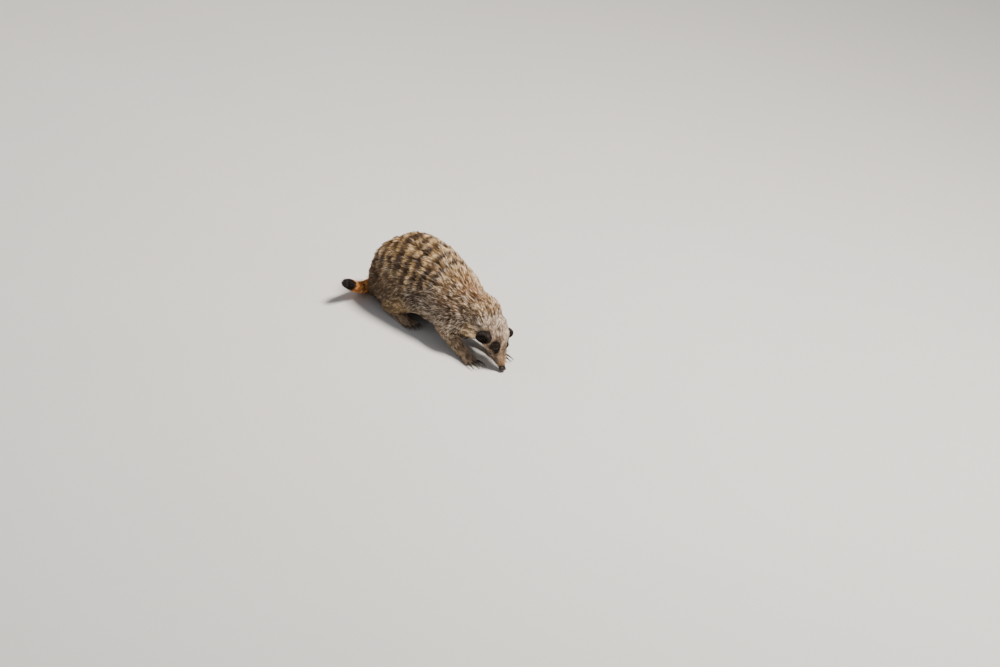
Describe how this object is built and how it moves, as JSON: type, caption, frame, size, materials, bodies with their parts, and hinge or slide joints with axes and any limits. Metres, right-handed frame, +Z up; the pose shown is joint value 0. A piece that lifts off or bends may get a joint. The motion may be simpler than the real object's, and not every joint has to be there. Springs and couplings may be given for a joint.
{
  "type": "meerkat",
  "caption": "Still life-size meerkat foraging: arched striped back, head lowered with the nose at the ground, dark ears, and a slim tail swung to the right with its black tip raised.",
  "frame": {"origin": "on the floor, under the middle of the animal's bounding box", "axes": "+X forwards along the body towards the head, +Y to the animal's left, +Z up"},
  "size_m": [0.2594, 0.132, 0.1096],
  "materials": {
    "coat_back": "shaggy golden-brown fur with dark broken bands",
    "coat_flank": "shaggy grizzled grey-brown fur",
    "coat_neck": "grizzled grey-brown fur with pale tips",
    "coat_face": "short pale grey-tan fur, dark round the eyes",
    "coat_leg": "yellowish-brown fur",
    "coat_paw": "short pale fur",
    "coat_tail": "short orange-tan fur",
    "coat_dark": "short black-brown hair",
    "eye": "wet dark brown",
    "horn": "smooth dark horn",
    "nose_leather": "damp pebbled skin"
  },
  "bodies": {
    "root": {"rump": "coat_back", "loin": "coat_back", "chest": "coat_flank", "neck": "coat_neck", "head": "coat_face", "muzzle": "coat_face", "lower_jaw": "coat_face", "nose": "nose_leather", "tail_root": "coat_tail", "tail_middle": "coat_tail", "tail_tip": "coat_dark", "thigh_right": "coat_leg", "shank_right": "coat_leg", "forearm_right": "coat_leg", "upper_arm_right": "coat_neck", "hind_foot_right": "coat_paw", "fore_paw_right": "coat_paw", "eye_right": "eye", "ear_right": "coat_dark", "hind_foot_right_claw_1": "horn", "hind_foot_right_claw_2": "horn", "hind_foot_right_claw_3": "horn", "hind_foot_right_claw_4": "horn", "fore_paw_right_claw_1": "horn", "fore_paw_right_claw_2": "horn", "fore_paw_right_claw_3": "horn", "fore_paw_right_claw_4": "horn", "thigh_left": "coat_leg", "shank_left": "coat_leg", "forearm_left": "coat_leg", "upper_arm_left": "coat_neck", "hind_foot_left": "coat_paw", "fore_paw_left": "coat_paw", "eye_left": "eye", "ear_left": "coat_dark", "hind_foot_left_claw_1": "horn", "hind_foot_left_claw_2": "horn", "hind_foot_left_claw_3": "horn", "hind_foot_left_claw_4": "horn", "fore_paw_left_claw_1": "horn", "fore_paw_left_claw_2": "horn", "fore_paw_left_claw_3": "horn", "fore_paw_left_claw_4": "horn"}
  },
  "joints": []
}
